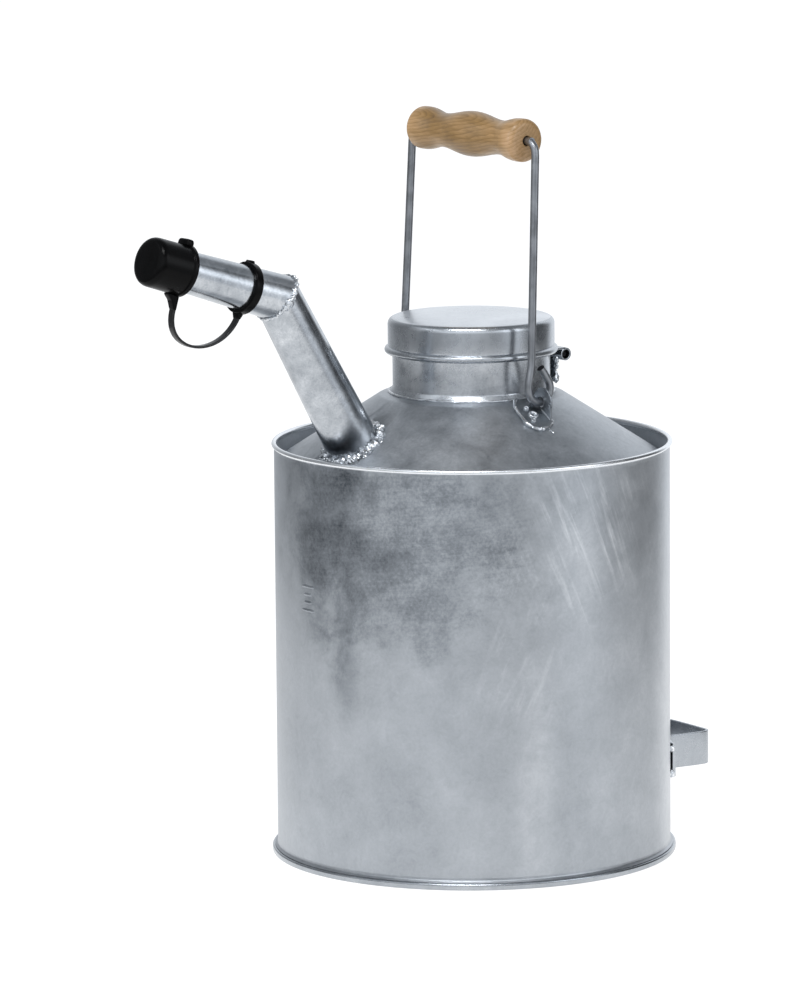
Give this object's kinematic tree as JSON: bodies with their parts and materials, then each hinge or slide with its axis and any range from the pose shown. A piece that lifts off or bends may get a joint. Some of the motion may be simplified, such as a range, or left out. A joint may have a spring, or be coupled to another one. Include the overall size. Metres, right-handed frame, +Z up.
{
  "type": "steel fuel can with pouring spout",
  "caption": "Cylindrical galvanised fuel can with cone shoulder, hinged lid, bent pouring spout with a tethered cap, wire bail with wooden grip, and a low strap handle for tipping.",
  "frame": {"origin": "on the can's axis at floor level, the underside of the rolled foot seam", "axes": "+Z up along the can's axis, -X towards the spout, +X towards the lid's hinge and the tipping handle, Y across, from one ear of the bail to the other"},
  "size_m": [0.4247, 0.2676, 0.4897],
  "materials": {
    "zinc": "hot-dip galvanised, mottled satin",
    "weld": "lumpy weld under zinc, shiny",
    "steel_wire": "dull plated wire",
    "dark_steel": "dark, unplated",
    "black_plastic": "black soft plastic, slightly glossy",
    "beech": "turned, thin clear varnish"
  },
  "bodies": {
    "can": {"body_shell": "zinc", "foot_seam": "zinc", "base_plate": "zinc", "side_seam": "zinc", "shoulder_cone": "zinc", "neck_collar": "zinc", "neck_weld": "weld", "hinge_leaf_neck": "zinc", "hinge_pin": "dark_steel", "spout_lower_tube": "zinc", "spout_upper_tube": "zinc", "spout_bend_weld": "weld", "spout_base_weld": "weld", "strap_ring": "black_plastic", "cap_strap": "black_plastic", "ear_near": "zinc", "ear_far": "zinc", "tipping_handle": "zinc", "handle_weld_near_top": "weld", "handle_weld_near_bottom": "weld", "handle_weld_far_top": "weld", "handle_weld_far_bottom": "weld"},
    "lid": {"lid": "zinc", "hinge_leaf_lid": "zinc"},
    "bail": {"bail_wire": "steel_wire"},
    "grip": {"grip": "beech"},
    "cap": {"spout_cap": "black_plastic"}
  },
  "joints": [
    {"name": "lid_hinge", "type": "hinge", "parent": "can", "child": "lid", "pos_m": [0.0625, 0, 0.3265], "axis": [0, 1, 0], "range_deg": [0, 175]},
    {"name": "bail_swing", "type": "hinge", "parent": "can", "child": "bail", "pos_m": [0.0027, 0, 0.3143], "axis": [0, 1, 0], "range_deg": [-55, 107]},
    {"name": "grip_spin", "type": "hinge", "parent": "bail", "child": "grip", "pos_m": [0.003, 0, 0.4748], "axis": [0, 1, 0], "continuous": true},
    {"name": "cap_pull", "type": "slide", "parent": "can", "child": "cap", "axis": [-0.9527, 0, 0.304], "range_m": [0, 0.03], "deforming": ["cap_strap"]}
  ]
}
